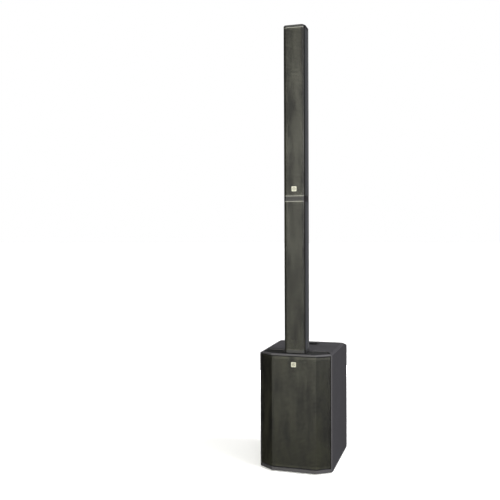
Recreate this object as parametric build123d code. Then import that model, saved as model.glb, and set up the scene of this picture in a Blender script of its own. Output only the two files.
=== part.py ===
"""Column loudspeaker system: a 12-inch powered subwoofer that carries two plug-in column elements.

Row frame: millimetres, +Z up, the grilles face -Y, and the origin is on the floor at the centre of the
subwoofer's footprint. The lower column is an empty spacer, and the upper one holds the mid and high drivers.
"""
from build123d import *
from math import atan2, cos, degrees, pi, sin, tan, radians
import os

# ---------------------------------------------------------------- driving dimensions
SUB_WIDTH = 353.0
SUB_DEPTH = 470.0
SUB_HEIGHT = 565.0
FOOT_HEIGHT = 6.0
PLYWOOD = 15.0
FACET_ANGLE = radians(34.5)      # both fronts have a flat middle and two sides swept back by this
SUB_FLAT_HALF = 108.0            # half width of the subwoofer's flat middle facet
COLUMN_WIDTH = 103.0
COLUMN_DEPTH = 100.0
COLUMN_FLAT_HALF = 39.5
COLUMN_SETBACK = 26.0            # from the subwoofer's front to the column's front
SEAT_Z = 567.0                   # where the lower column stands on the dock
LOWER_LENGTH = 732.0
UPPER_LENGTH = 814.0
CAP = 14.0                       # height of each column end cap
SHEET = 1.5                      # perforated steel of the grilles
CLEAR = 0.3                      # gap between pieces that are fitted by hand

# ---------------------------------------------------------------- places worked out from them
FRONT, BACK = -SUB_DEPTH / 2, SUB_DEPTH / 2
HALF = SUB_WIDTH / 2
INNER_HALF = HALF - PLYWOOD
FLOOR_Z = FOOT_HEIGHT + PLYWOOD          # top face of the bottom panel
CEILING_Z = SUB_HEIGHT - PLYWOOD         # underside of the top panel
BAFFLE_FRONT = FRONT + 65.0
COLUMN_FRONT = FRONT + COLUMN_SETBACK
COLUMN_BACK = COLUMN_FRONT + COLUMN_DEPTH
COLUMN_HALF = COLUMN_WIDTH / 2
COLUMN_MIDDLE_Y = (COLUMN_FRONT + COLUMN_BACK) / 2
SEAM_Z = SEAT_Z + LOWER_LENGTH
TOP_Z = SEAM_Z + UPPER_LENGTH


# ---------------------------------------------------------------- shape helpers
def facet_y(front, flat_half, set_back, x):
    """Y of a swept front, moved back by set_back, at the distance x from the middle."""
    corner = flat_half - set_back * tan(FACET_ANGLE / 2)
    return front + set_back + max(0.0, x - corner) * tan(FACET_ANGLE)


def facet_line(front, flat_half, set_back, half):
    """The four corners of a swept front, moved back by set_back and cut off at x = -half and half."""
    corner = flat_half - set_back * tan(FACET_ANGLE / 2)
    side = facet_y(front, flat_half, set_back, half)
    return [(-half, side), (-corner, front + set_back), (corner, front + set_back), (half, side)]


def sub_line(set_back, half):
    return facet_line(FRONT, SUB_FLAT_HALF, set_back, half)


def column_line(set_back, half):
    return facet_line(COLUMN_FRONT, COLUMN_FLAT_HALF, set_back, half)


def prism(points, z0, z1):
    """A straight prism on the XY polygon, from z0 up to z1."""
    face = make_face(Polyline(*points, close=True))
    return extrude(Pos(0, 0, z0) * face, z1 - z0)


def block(x0, x1, y0, y1, z0, z1):
    return Pos((x0 + x1) / 2, (y0 + y1) / 2, (z0 + z1) / 2) * Box(x1 - x0, y1 - y0, z1 - z0)


def round_block(x_size, y_size, z0, z1, radius, x=0.0, y=0.0):
    """A block with rounded upright edges, centred on x and y."""
    return extrude(Pos(x, y, z0) * RectangleRounded(x_size, y_size, radius), z1 - z0)


def upright(radius, z0, z1, x=0.0, y=0.0):
    return Pos(x, y, (z0 + z1) / 2) * Cylinder(radius, z1 - z0)


def turned(profile):
    """A solid of revolution about Z from (radius, z) points."""
    face = make_face(Polyline(*[(r, 0, z) for r, z in profile], close=True))
    return revolve(face, Axis.Z)


def ring(inner, outer, z0, z1):
    return turned([(inner, z0), (outer, z0), (outer, z1), (inner, z1)])


def facing_front(shape, x, y, z):
    """Puts a piece built along +Z so that +Z points to the front, with its origin at x, y, z."""
    return Location((x, y, z), (90, 0, 0)) * shape


def facing_back(shape, x, y, z):
    """Puts a piece built along +Z so that +Z points to the back, upright, with its origin at x, y, z."""
    return Location((x, y, z), (-90, 0, 180)) * shape


def group(pieces):
    """Separate solids that share one node."""
    solids = [s for piece in pieces for s in piece.solids()]
    return Compound(children=solids)


def countersunk_screw(radius, length):
    """Flat-head screw along -Z with its head's face at z = 0 and a hexagon socket in it."""
    head = 2 * radius
    body = turned([(0, 0), (head, 0), (head, -0.4), (radius, -0.4 - radius), (radius, -length), (0, -length)])
    return body - extrude(Pos(0, 0, -1.2) * RegularPolygon(radius * 0.7, 6), 2)


def countersink(radius, length):
    """The hole that such a screw sits in, with a little room all round."""
    head = 2 * radius + 0.15
    return turned([(0, 0.1), (head, 0.1), (head, -0.55), (radius + 0.15, -0.55 - radius),
                   (radius + 0.15, -length - 0.3), (0, -length - 0.3)])


def pan_screw(radius, length):
    """Round-head screw along -Z whose head stands on z = 0."""
    body = turned([(0, radius * 1.2), (radius * 1.4, radius * 1.1), (radius * 2, radius * 0.4),
                   (radius * 2, 0), (radius, 0), (radius, -length), (0, -length)])
    return body - extrude(Pos(0, 0, radius * 0.5) * RegularPolygon(radius * 0.8, 6), 3)


# ---------------------------------------------------------------- subwoofer cabinet
BEVEL_RUN, BEVEL_DROP = 62.0, 14.0       # sloped upper back edge
GRILLE_SETBACK = 5.0
GRILLE_HALF = HALF - 7.3
GRILLE_SEAT = (12.0, HALF - 5.0)           # depth and half width of the recess that holds it
GRILLE_TOP = SUB_HEIGHT - 8.0             # underside of the lip above it
GRILLE_GAP = 3.0                          # shadow gap above and below it
SHOULDER = (13.0, 6.0)                    # width and drop of the slope along each top side
DOCK_BACK = FRONT + 125.0
DOCK_HALF_BACK = 139.0
DOCK_CORNER = (163.0, FRONT + 72.0)
DOCK_DEPTH = 6.0
DOCK_PLATE = 3.0
SOCKET_OUT = (64.0, 52.0)                # outside of the socket box
SOCKET_IN = (55.6, 43.6)                 # its pocket
SOCKET_DEPTH = 47.0
PORT_X, PORT_Z, PORT_RADIUS = 92.0, 104.0, 35.0
WOOFER_Z = 350.0
WOOFER_HOLE = 143.5
HANDLE_Y = 101.0                         # middle of the finger opening
HANDLE_HALF = 42.0
HANDLE_REACH = 26.0                      # half length of the opening, front to back
HANDLE_UNDERCUT = 26.0                   # how far the pocket runs under its back lip
HANDLE_FLOOR_Z = 505.0
HANDLE_FLANGE = 3.0
PANEL_HALF, PANEL_Z0, PANEL_Z1 = 115.0, 120.0, 500.0
PANEL_Z = (PANEL_Z0 + PANEL_Z1) / 2
FLANGE = 13.0
FLANGE_Y = BACK - 3.0                    # outer face of the panel's flange
PANEL_FACE_Y = BACK - 17.0               # outer face of the panel's recessed floor
SCREW_RADIUS = 2.4
PANEL_SCREW = 1.6
FOOT_PLACES = [(x, y) for x in (-128.0, 128.0) for y in (FRONT + 75.0, BACK - 40.0)]
DOCK_SCREW_PLACES = [(x, y) for x in (-72.0, 72.0) for y in (FRONT + 38.0, FRONT + 108.0)]
HANDLE_SCREW_PLACES = [(x, y) for x in (-48.5, 48.5) for y in (HANDLE_Y - 24.0, HANDLE_Y + 24.0)]


def dock_outline(gap):
    """Plan of the dock recess, shrunk by gap."""
    x, y = DOCK_CORNER
    front = sub_line(14.0 + gap, x - gap)
    return front + [(x - gap, y), (DOCK_HALF_BACK - gap, DOCK_BACK - gap),
                    (-DOCK_HALF_BACK + gap, DOCK_BACK - gap), (-x + gap, y)]


def back_bevel(offset):
    """The wedge cut off the upper back edge, moved inwards by offset."""
    slope = BEVEL_DROP / BEVEL_RUN
    drop = BEVEL_DROP + offset * (1 + slope ** 2) ** 0.5
    top, back = SUB_HEIGHT + 1.0, BACK + 1.0
    high = (0, BACK - (drop + 1) / slope, top)
    low = (0, back, SUB_HEIGHT - drop - slope)
    return extrude(make_face(Polyline(high, (0, back, top), low, close=True)), HALF + 5, both=True)


def side_slope(side):
    """The wedges cut off one top side edge: level to the bevel, then bent down along it."""
    run, drop = SHOULDER
    top, crease = SUB_HEIGHT, BACK - BEVEL_RUN
    corners = [(HALF - run, top), (HALF + run, top - 2 * drop), (HALF + run, top + 20),
               (HALF - run, top + 20)]
    level = extrude(make_face(Polyline(*[(side * x, crease, z) for x, z in corners], close=True)),
                    SUB_DEPTH, both=True)
    return level + level.rotate(Axis((0, crease, top), (1, 0, 0)), -degrees(atan2(BEVEL_DROP, BEVEL_RUN)))


def cabinet_shell():
    outline = sub_line(0, HALF) + [(HALF, BACK), (-HALF, BACK)]
    shell = prism(outline, FOOT_HEIGHT, SUB_HEIGHT) - back_bevel(0)
    front_rims = [e for e in shell.edges() if e.center().Y < FRONT + 50 and abs(e.center().X) < HALF - 7
                  and abs(e.center().Z - (SUB_HEIGHT + FOOT_HEIGHT) / 2) > 200 and e.length > 30]
    shell = chamfer(front_rims, 3)
    upright_edges = [e for e in shell.edges().filter_by(Axis.Z)
                     if abs(abs(e.center().X) - HALF) < 0.01 and e.length > 400]
    shell = fillet(upright_edges, 4)
    for side in (-1, 1):
        shell -= side_slope(side)
    depth, half = GRILLE_SEAT
    grille_seat = prism(sub_line(depth, half) + [(half, FRONT - 9), (-half, FRONT - 9)], FLOOR_Z, GRILLE_TOP)
    inside = block(-INNER_HALF, INNER_HALF, FRONT - 9, BACK - PLYWOOD, FLOOR_Z, CEILING_Z)
    inside -= back_bevel(PLYWOOD)
    shell -= grille_seat + inside
    shell -= prism(dock_outline(0), SUB_HEIGHT - DOCK_DEPTH, SUB_HEIGHT + 9)
    shell -= round_block(SOCKET_OUT[0] + 1, SOCKET_OUT[1] + 1, CEILING_Z - 1, SUB_HEIGHT, 3, 0,
                         COLUMN_MIDDLE_Y)
    shell -= round_block(2 * HANDLE_HALF + 7, 2 * HANDLE_REACH + 7, CEILING_Z - 1, SUB_HEIGHT + 1, 9, 0,
                         HANDLE_Y)
    shell -= round_block(2 * HANDLE_HALF + 25, 2 * HANDLE_REACH + 25, SUB_HEIGHT - HANDLE_FLANGE,
                         SUB_HEIGHT + 1, 14,
                         0, HANDLE_Y)
    shell -= block(-PANEL_HALF - 3, PANEL_HALF + 3, BACK - 20, BACK + 1, PANEL_Z0 - 3, PANEL_Z1 + 3)
    shell -= block(-PANEL_HALF - FLANGE - 0.5, PANEL_HALF + FLANGE + 0.5, FLANGE_Y - 2, BACK + 1,
                   PANEL_Z0 - FLANGE - 0.5, PANEL_Z1 + FLANGE + 0.5)
    for x, y in FOOT_PLACES:
        shell -= upright(SCREW_RADIUS + 0.1, 0, FLOOR_Z - 2, x, y)
    for x, y in DOCK_SCREW_PLACES + HANDLE_SCREW_PLACES:
        shell -= upright(SCREW_RADIUS + 0.1, CEILING_Z + 0.4, SUB_HEIGHT, x, y)
    for x, z in panel_screw_places():
        shell -= facing_back(upright(PANEL_SCREW + 0.1, -11, 1), x, FLANGE_Y, z)
    return shell


def woofer_baffle():
    plate = block(-INNER_HALF, INNER_HALF, BAFFLE_FRONT, BAFFLE_FRONT + PLYWOOD, FLOOR_Z, CEILING_Z)
    plate -= facing_front(upright(WOOFER_HOLE, -20, 5), 0, BAFFLE_FRONT, WOOFER_Z)
    for x in (-PORT_X, PORT_X):
        plate -= facing_front(upright(PORT_RADIUS + 3.1, -20, 5), x, BAFFLE_FRONT, PORT_Z)
    plate -= block(-SOCKET_OUT[0] / 2 - 0.5, SOCKET_OUT[0] / 2 + 0.5, BAFFLE_FRONT - 1,
                   BAFFLE_FRONT + PLYWOOD + 1, SUB_HEIGHT - DOCK_DEPTH - SOCKET_DEPTH, CEILING_Z + 1)
    for screw in woofer_screw_places():
        plate -= facing_front(upright(SCREW_RADIUS - 0.3, -12, 1, *screw), 0, BAFFLE_FRONT, WOOFER_Z)
    return plate


def folded_grille(line, half, z0, z1, return_y):
    """Bent sheet along a swept front, with a short return down each side to return_y."""
    outer = prism(line(0, half) + [(half, return_y), (-half, return_y)], z0, z1)
    inner = prism(line(SHEET, half - SHEET) + [(half - SHEET, return_y + 1), (SHEET - half, return_y + 1)],
                  z0 - 1, z1 + 1)
    return outer - inner


def sub_grille():
    def line(set_back, half):
        return sub_line(GRILLE_SETBACK + set_back, half)
    return folded_grille(line, GRILLE_HALF, FLOOR_Z + GRILLE_GAP, GRILLE_TOP - GRILLE_GAP,
                         facet_y(FRONT, SUB_FLAT_HALF, GRILLE_SEAT[0] - 0.6, GRILLE_HALF - SHEET))


def sub_grille_foam():
    near, far = GRILLE_SETBACK + SHEET + 0.1, GRILLE_SEAT[0] - 0.6
    half = GRILLE_HALF - SHEET - 0.3
    back = list(reversed(sub_line(far, half)))
    return prism(sub_line(near, half) + back, FLOOR_Z + 1, GRILLE_TOP - 1)


BADGE_SIZE, BADGE_THICK = 27.0, 1.6


def badge(y, x, z):
    """Plain rounded square plate with a raised rim."""
    plate = extrude(RectangleRounded(BADGE_SIZE, BADGE_SIZE, 3), BADGE_THICK)
    plate -= extrude(Pos(0, 0, BADGE_THICK - 0.4) * RectangleRounded(BADGE_SIZE - 3, BADGE_SIZE - 3, 2), 1)
    return facing_front(plate, x, y, z)


def sub_badge():
    return badge(FRONT + GRILLE_SETBACK, 0, 516.0)


FOOT_RADIUS = 17.0


def feet():
    foot = turned([(0, 0), (FOOT_RADIUS - 2, 0), (FOOT_RADIUS, 2), (FOOT_RADIUS, FOOT_HEIGHT),
                   (0, FOOT_HEIGHT)])
    foot -= Rotation(180, 0, 0) * Pos(0, 0, -2) * countersink(SCREW_RADIUS, 20)
    foot -= upright(2 * SCREW_RADIUS + 0.15, -1, 2.1)
    return group([Pos(x, y, 0) * foot for x, y in FOOT_PLACES])


def countersunk_screws():
    """The identical flat-head screws of the feet, the dock and the handle."""
    up = Rotation(180, 0, 0) * countersunk_screw(SCREW_RADIUS, 14)
    down = countersunk_screw(SCREW_RADIUS, 14)
    screws = [Pos(x, y, 2) * up for x, y in FOOT_PLACES]
    screws += [Pos(x, y, SUB_HEIGHT - DOCK_DEPTH + DOCK_PLATE) * countersunk_screw(SCREW_RADIUS, 10)
               for x, y in DOCK_SCREW_PLACES]
    screws += [Pos(x, y, SUB_HEIGHT) * down for x, y in HANDLE_SCREW_PLACES]
    return group(screws)


def port_tubes():
    tube = turned([(PORT_RADIUS, 0), (PORT_RADIUS, -118), (PORT_RADIUS + 3, -118), (PORT_RADIUS + 3, 0),
                   (PORT_RADIUS + 12, 0), (PORT_RADIUS + 12, 1.5), (PORT_RADIUS + 7, 4),
                   (PORT_RADIUS + 3, 3)])
    return group([facing_front(tube, x, BAFFLE_FRONT, PORT_Z) for x in (-PORT_X, PORT_X)])


# ---------------------------------------------------------------- column dock and its plug
PIN_PLACES = [(x, y) for x in (-12.0, -4.0, 4.0, 12.0) for y in (-4.5, 4.5)]
SPIGOT = (55.0, 43.0, 36.0)
PLUG_BLOCK = (34.0, 20.0, 10.0)


def socket_box(seat_z, top_z):
    """Downward box with the pocket that a column's spigot enters. seat_z is where the column stands."""
    floor = seat_z - SOCKET_DEPTH
    box = round_block(*SOCKET_OUT, floor - 4, top_z, 3, 0, COLUMN_MIDDLE_Y)
    return box - upright(5, floor - 5, floor + 1, 0, COLUMN_MIDDLE_Y)


def socket_pocket(seat_z):
    return round_block(*SOCKET_IN, seat_z - SOCKET_DEPTH, seat_z + 5, 3, 0, COLUMN_MIDDLE_Y)


def contact_socket(seat_z):
    """Insulating block with a hole for each contact pin."""
    floor = seat_z - SOCKET_DEPTH
    part = round_block(40, 26, floor, floor + 10.5, 2, 0, COLUMN_MIDDLE_Y)
    for x, y in PIN_PLACES:
        part -= upright(1.7, floor + 1.5, floor + 11, x, COLUMN_MIDDLE_Y + y)
    return part


def contact_plug(seat_z):
    """Insert in the spigot's end that carries the contact pins."""
    end = seat_z - SPIGOT[2]
    part = round_block(PLUG_BLOCK[0], PLUG_BLOCK[1], end, end + PLUG_BLOCK[2], 2, 0, COLUMN_MIDDLE_Y)
    for x, y in PIN_PLACES:
        part += upright(1.3, end - 8, end + 1, x, COLUMN_MIDDLE_Y + y)
    return part


def column_dock():
    base = SUB_HEIGHT - DOCK_DEPTH
    tray = prism(dock_outline(CLEAR), base, base + DOCK_PLATE)
    tray += round_block(88, 84, base, SEAT_Z, 8, 0, COLUMN_MIDDLE_Y)
    tray += socket_box(SEAT_Z, base + 1)
    tray -= socket_pocket(SEAT_Z)
    for x, y in DOCK_SCREW_PLACES:
        tray -= Pos(x, y, base + DOCK_PLATE) * countersink(SCREW_RADIUS, 10)
    return tray


def dock_socket():
    return contact_socket(SEAT_Z)


# ---------------------------------------------------------------- carrying handle
def handle_cup():
    flange = round_block(2 * HANDLE_HALF + 24, 2 * HANDLE_REACH + 24, SUB_HEIGHT - HANDLE_FLANGE, SUB_HEIGHT,
                         13.5, 0, HANDLE_Y)
    neck = round_block(2 * HANDLE_HALF + 6, 2 * HANDLE_REACH + 6, CEILING_Z - 1, SUB_HEIGHT - 2, 8.5, 0,
                       HANDLE_Y)
    back = HANDLE_Y + HANDLE_REACH + HANDLE_UNDERCUT
    front = HANDLE_Y - HANDLE_REACH
    tub = block(-HANDLE_HALF - 3, HANDLE_HALF + 3, front - 3, back + 3, HANDLE_FLOOR_Z - 3, CEILING_Z - 0.2)
    cup = flange + neck + tub
    cup -= block(-HANDLE_HALF, HANDLE_HALF, front, back, HANDLE_FLOOR_Z, CEILING_Z - 3)
    cup -= round_block(2 * HANDLE_HALF, 2 * HANDLE_REACH, CEILING_Z - 4, SUB_HEIGHT + 1, 6, 0, HANDLE_Y)
    rim = [e for e in cup.edges()
           if abs(e.center().Z - SUB_HEIGHT) < 0.01 and abs(e.center().X) < HANDLE_HALF + 1
           and abs(e.center().Y - HANDLE_Y) < HANDLE_REACH + 1]
    cup = fillet(rim, 1.8)
    for x, y in HANDLE_SCREW_PLACES:
        cup -= Pos(x, y, SUB_HEIGHT) * countersink(SCREW_RADIUS, 14)
    return cup


# ------------------------------------------------------- woofer, built along +Z with the baffle at z = 0
WOOFER_STROKE = 6.0


def woofer_screw_places():
    return [(150.0 * cos(a), 150.0 * sin(a)) for a in [pi / 8 + i * pi / 4 for i in range(8)]]


def woofer_placed(shape):
    return facing_front(shape, 0, BAFFLE_FRONT, WOOFER_Z)


def woofer_basket():
    frame = turned([(141, 0.2), (156, 0.2), (156, 5), (141, 5)])
    frame += turned([(141, 1), (141, -14), (79, -80), (28, -80), (28, -84), (81, -84), (143, -16), (143, 1)])
    frame += Rotation(0, 0, -30) * Pos(110, 0, -52) * Rotation(0, 0, 30) * Box(12, 12, 12)
    window = extrude(Pos(0, 0, -74) * RectangleRounded(62, 44, 5), 56)
    for i in range(6):
        frame -= Rotation(0, 0, 60 * i) * Pos(112, 0, 0) * window
    for x, y in woofer_screw_places():
        frame -= upright(SCREW_RADIUS + 0.2, -1, 6, x, y)
    return woofer_placed(frame)


def woofer_motor():
    plate = ring(27.5, 78, -92, -84.1)
    ferrite = ring(44, 80, -112, -92)
    yoke = turned([(0, -121), (70, -121), (76, -117), (76, -112), (23.8, -112), (23.8, -84.5), (0, -84.5)])
    yoke -= upright(9, -122, -80)
    return group([woofer_placed(s) for s in (plate, ferrite, yoke)])


def woofer_spider():
    """Corrugated centring disc between the frame's floor and the voice coil."""
    steps = 14
    radii = [25.7 + 46.0 * i / steps for i in range(steps + 1)]
    waves = [-66.0 + (1.6 if i % 2 else -1.6) for i in range(steps + 1)]
    top = list(zip(radii, waves))
    bottom = [(r, z - 0.8) for r, z in reversed(top)]
    seat = ring(71, 74, -80, -64.5)
    return woofer_placed(turned(top + bottom) + seat)


def woofer_screws():
    screw = pan_screw(SCREW_RADIUS - 0.4, 11)
    return group([woofer_placed(Pos(x, y, 5) * screw) for x, y in woofer_screw_places()])


def woofer_cone():
    outline = [(118, 2), (25.4, -45.6), (25.4, -47.2), (119.5, 0), (123, 0.8), (123, 2)]
    return woofer_placed(turned(outline))


def woofer_surround():
    """Half-roll of rubber that lets the cone travel."""
    middle, radius, thick = 130.6, 9.6, 0.9
    roll = revolve(Pos(middle, 0, 2) * Rot(90, 0, 0) * (Circle(radius) - Circle(radius - thick)), Axis.Z)
    roll &= ring(100, 150, 2, 30)
    return woofer_placed(roll)


def woofer_dust_cap():
    middle, rim, rise, thick = -38.0, 40.0, 11.0, 0.9
    radius = (rim ** 2 + rise ** 2) / (2 * rise)
    centre = middle + rise - radius
    dome = Pos(0, 0, centre) * (Sphere(radius) - Sphere(radius - thick))
    return woofer_placed(dome & upright(rim, middle, 0))


def woofer_voice_coil():
    return woofer_placed(ring(24.7, 25.3, -100, -45.7) + ring(25.2, 26.5, -95, -83))


# ---------------------------------------------------------------- amplifier and its back panel
CONTROL_X = (84.0, 42.0, 0.0, -42.0, -84.0)
KNOB_Z, BUTTON_Z, SOCKET_Z = 458.0, 424.0, 382.0
COMBO_X = CONTROL_X[:3]
XLR_X = CONTROL_X[3]
LINE_X, LINE_Z = CONTROL_X[4], (SOCKET_Z + 13.0, SOCKET_Z - 13.0)
BUTTON_X = CONTROL_X[0]
INLET_X, SWITCH_X, MAINS_Z = 52.0, -2.0, 148.0
D_SOCKET_RADIUS = 11.8               # body of the round panel sockets
D_SCREWS = ((-9.5, 12.0), (9.5, -12.0))
INLET_SCREWS = ((-20.0, 0.0), (20.0, 0.0))
KNOB_RADIUS = 7.5
BUTTON_RADIUS = 4.0
ROCKER_PIVOT = -2.0
LENS_X = -63.0
SINK_HALF, SINK_Z0, SINK_Z1 = 70.0, 182.0, 338.0


def panel_placed(shape, x, z):
    """A piece built along +Z stands out of the panel's recessed floor."""
    return facing_back(shape, x, PANEL_FACE_Y, z)


def panel_screw_places():
    edge_x, edge_z = PANEL_HALF + FLANGE / 2, (PANEL_Z1 - PANEL_Z0) / 2 + FLANGE / 2
    sides = [(x, PANEL_Z + z) for x in (-edge_x, edge_x)
             for z in (-edge_z, -edge_z / 2.6, edge_z / 2.6, edge_z)]
    return sides + [(0.0, PANEL_Z - edge_z), (0.0, PANEL_Z + edge_z)]


def connector_screw_places():
    places = [(x - dx, SOCKET_Z + dz) for x in COMBO_X + (XLR_X,) for dx, dz in D_SCREWS]
    return places + [(INLET_X - dx, MAINS_Z + dz) for dx, dz in INLET_SCREWS]


def amp_panel():
    """Pressed-steel dish: a flange in the cabinet's back and a recessed floor with the controls."""
    half, tall = PANEL_HALF, (PANEL_Z1 - PANEL_Z0) / 2
    deep = FLANGE_Y - PANEL_FACE_Y
    dish = extrude(Pos(0, 0, deep - 2) * RectangleRounded(2 * (half + FLANGE), 2 * (tall + FLANGE), 6), 2)
    dish += extrude(Pos(0, 0, -2) * RectangleRounded(2 * half + 3, 2 * tall + 3, 4), deep)
    dish -= extrude(RectangleRounded(2 * half, 2 * tall, 3), deep + 5)
    dish = facing_back(dish, 0, PANEL_FACE_Y, PANEL_Z)
    holes = [(x, SOCKET_Z, D_SOCKET_RADIUS + 0.3) for x in COMBO_X + (XLR_X,)]
    holes += [(LINE_X, z, 6.3) for z in LINE_Z] + [(x, KNOB_Z, 3.2) for x in CONTROL_X]
    holes += [(BUTTON_X, BUTTON_Z, BUTTON_RADIUS + 0.3)]
    holes += [(x, z, PANEL_SCREW + 0.1) for x, z in connector_screw_places()]
    for x, z, radius in holes:
        dish -= panel_placed(upright(radius, -5, 5), x, z)
    dish -= panel_placed(Box(30.6, 24.6, 10), INLET_X, MAINS_Z)
    dish -= panel_placed(Box(20.6, 14.6, 10), SWITCH_X, MAINS_Z)
    for x, z in panel_screw_places():
        dish -= facing_back(upright(PANEL_SCREW + 0.1, -4, 4), x, FLANGE_Y, z)
    return dish


def amp_panel_screws():
    """The identical round-head screws of the panel, its sockets and the mains inlet."""
    screw = pan_screw(PANEL_SCREW, 9)
    flange = [facing_back(screw, x, FLANGE_Y, z) for x, z in panel_screw_places()]
    return group(flange + [panel_placed(Pos(0, 0, 2) * screw, x, z) for x, z in connector_screw_places()])


def amp_housing():
    """Folded tub behind the panel that keeps the cabinet's air off the electronics."""
    y0, y1, wall = PANEL_FACE_Y - 88, PANEL_FACE_Y - 2, 1.5
    x, z0, z1 = PANEL_HALF - 3, PANEL_Z0 + 3, PANEL_Z1 - 3
    tub = block(-x, x, y0, y1, z0, z1)
    return tub - block(-x + wall, x - wall, y0 + wall, y1 + 1, z0 + wall, z1 - wall)


def heat_sink():
    sink = block(-SINK_HALF, SINK_HALF, PANEL_FACE_Y, PANEL_FACE_Y + 4, SINK_Z0, SINK_Z1)
    fins = 13
    for i in range(fins):
        x = -SINK_HALF + 2 + i * (2 * SINK_HALF - 4) / (fins - 1)
        sink += block(x - 1.2, x + 1.2, PANEL_FACE_Y + 3, PANEL_FACE_Y + 15, SINK_Z0, SINK_Z1)
    return sink


def amp_boards():
    """Mixer board with its five controls, and the power board with its transformer and capacitors."""
    mixer_y, power_y = PANEL_FACE_Y - 26, PANEL_FACE_Y - 36
    pieces = [block(-104, 104, mixer_y, mixer_y + 1.6, 340, 482),
              block(-100, 100, power_y, power_y + 1.6, 130, 325)]
    for x in CONTROL_X:
        body = block(x - 6, x + 6, mixer_y + 1.6, PANEL_FACE_Y - 3, KNOB_Z - 7, KNOB_Z + 7)
        pieces.append(body - panel_placed(upright(3.2, -14, 0), x, KNOB_Z))
    pieces.append(block(BUTTON_X - 4, BUTTON_X + 4, mixer_y + 1.6, PANEL_FACE_Y - 8.6, BUTTON_Z - 4,
                        BUTTON_Z + 4))
    pieces.append(block(-88, -34, power_y - 38, power_y, 140, 190))
    for x in (0.0, 28.0, 56.0, 84.0):
        pieces.append(facing_front(upright(11, 0, 40), x, power_y, 160))
    pieces.append(block(-60, 60, power_y - 18, power_y, 250, 290))
    return group(pieces)


def round_socket(bore, depth):
    """Panel socket with a rectangular flange, a round body and a bore of the given radius."""
    socket = extrude(RectangleRounded(26, 31, 3), 2) + upright(D_SOCKET_RADIUS, -depth, 1)
    socket -= upright(bore, -9, 3)
    for x, y in D_SCREWS:
        socket -= upright(PANEL_SCREW + 0.1, -2, 3, x, y)
    return socket


def contact_ring(radius, pin, z0, z1):
    """Three round contacts at the corners of a triangle."""
    angles = [radians(90 + 120 * i) for i in range(3)]
    return [upright(pin, z0, z1, radius * cos(a), radius * sin(a)) for a in angles]


def combo_jacks():
    """Panel sockets that take either a three-pin plug or a 6.35 mm jack plug."""
    jack = round_socket(9.8, 21) - upright(3.3, -20, 3)
    for contact in contact_ring(6.6, 1.4, -18, 1):
        jack -= contact
    return group([panel_placed(jack, x, SOCKET_Z) for x in COMBO_X])


def line_sockets():
    """The balanced output, with its three pins, and the pair of 6.35 mm line inputs."""
    out = round_socket(9.2, 18) - upright(9.2, -15, 3)
    for contact in contact_ring(5.0, 1.2, -16, -3):
        out += contact
    nut = extrude(RegularPolygon(8.6, 6), 2.4) + upright(6, -21, 4.5) - upright(3.3, -19, 6)
    return group([panel_placed(out, XLR_X, SOCKET_Z)] + [panel_placed(nut, LINE_X, z) for z in LINE_Z])


def mains_inlet():
    inlet = extrude(RectangleRounded(48, 30, 4), 2)
    inlet += extrude(Pos(0, 0, -20) * RectangleRounded(30, 24, 3), 20)
    inlet -= extrude(Pos(0, 0, -16) * RectangleRounded(25, 17.5, 3), 20)
    for x, y in ((-7, -1.6), (0, 2.4), (7, -1.6)):
        inlet += Pos(x, y, -9.5) * Box(2, 4, 15)
    for x, y in INLET_SCREWS:
        inlet -= upright(PANEL_SCREW + 0.1, -1, 3, x, y)
    return panel_placed(inlet, INLET_X, MAINS_Z)


def switch_frame():
    frame = extrude(RectangleRounded(24, 18, 2), 1.6) + extrude(Pos(0, 0, -16) * Rectangle(20, 14), 16)
    frame -= extrude(Pos(0, 0, -13) * Rectangle(17, 12), 20)
    frame -= Pos(0, 0, ROCKER_PIVOT) * Rotation(0, 90, 0) * Cylinder(1.5, 18.8)
    return panel_placed(frame, SWITCH_X, MAINS_Z)


def power_rocker():
    """Rocker with a shallow V top on two pivot pins, tilted to its off side."""
    side = Polyline((-4.9, 6.0), (0, 4.4), (4.9, 6.0), (4.9, -1.5), (1.8, -5.5), (-1.8, -5.5), (-4.9, -1.5),
                    close=True)
    body = extrude(Plane.YZ * make_face(side), 8.1, both=True) + Rotation(0, 90, 0) * Cylinder(1.2, 18)
    return panel_placed(Pos(0, 0, ROCKER_PIVOT) * Rotation(8, 0, 0) * body, SWITCH_X, MAINS_Z)


def knob(index):
    """Ribbed skirted knob on its shaft, with a pointer groove at the top of its turn."""
    body = turned([(0, 1.2), (KNOB_RADIUS, 1.2), (KNOB_RADIUS, 3.2), (6.2, 4.6), (5.6, 12.2), (5.0, 13.0),
                   (0, 13.0)])
    for i in range(12):
        a = radians(15 + 30 * i)
        body -= upright(0.6, 5, 14, 6.1 * cos(a), 6.1 * sin(a))
    body -= block(-0.5, 0.5, 1.5, 7.6, 12.4, 14)
    body += upright(2.9, -13, 1.5)
    return panel_placed(body, CONTROL_X[index], KNOB_Z)


def mode_button():
    cap = turned([(0, -7), (BUTTON_RADIUS, -7), (BUTTON_RADIUS, 4.6), (BUTTON_RADIUS - 0.6, 5.2), (0, 5.0)])
    return panel_placed(cap, BUTTON_X, BUTTON_Z)


def woofer_lead():
    """Cable from the amplifier's housing to the terminal block on the woofer's frame."""
    x, z = 110 * cos(radians(30)), WOOFER_Z - 110 * sin(radians(30))
    start, end = PANEL_FACE_Y - 88, BAFFLE_FRONT + 58
    route = [(x, start, z - 60), (x, start - 55, z - 60), (x, start - 120, z), (x, end, z)]
    return sweep(Plane(origin=route[0], z_dir=(0, -1, 0)) * Circle(2.5),
                 path=FilletPolyline(*route, radius=18))


def status_lens():
    return panel_placed(extrude(RectangleRounded(46, 12, 2), 1.2), LENS_X, BUTTON_Z)


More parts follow.
